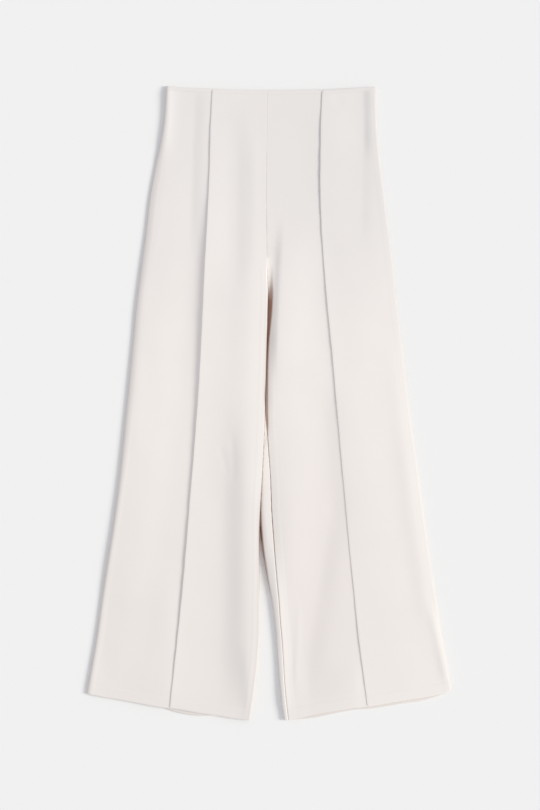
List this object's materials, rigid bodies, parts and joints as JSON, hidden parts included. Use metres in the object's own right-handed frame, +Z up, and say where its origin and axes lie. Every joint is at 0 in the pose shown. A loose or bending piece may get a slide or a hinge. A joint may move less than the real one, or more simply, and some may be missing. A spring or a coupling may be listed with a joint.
{
  "type": "pleated wide-leg trousers",
  "caption": "High-waisted wide-leg trousers laid flat, front up, with a stitched pintuck down each leg, turned hems and a turned waist edge.",
  "frame": {"origin": "middle of the outline as the garment lies flat, on the surface that it rests on", "axes": "+Y from the hems to the waist, +Z up from the surface through the front of the garment, the wearer's right leg at -X"},
  "size_m": [0.5991, 1.0458, 0.0086],
  "materials": {
    "crepe": "matte ivory stretch crepe, close and smooth, with a very fine pebbled grain",
    "thread": "spun polyester sewing thread, ivory"
  },
  "bodies": {
    "root": {"front_right": "crepe", "front_left": "crepe", "back_right": "crepe", "back_left": "crepe"}
  },
  "joints": []
}
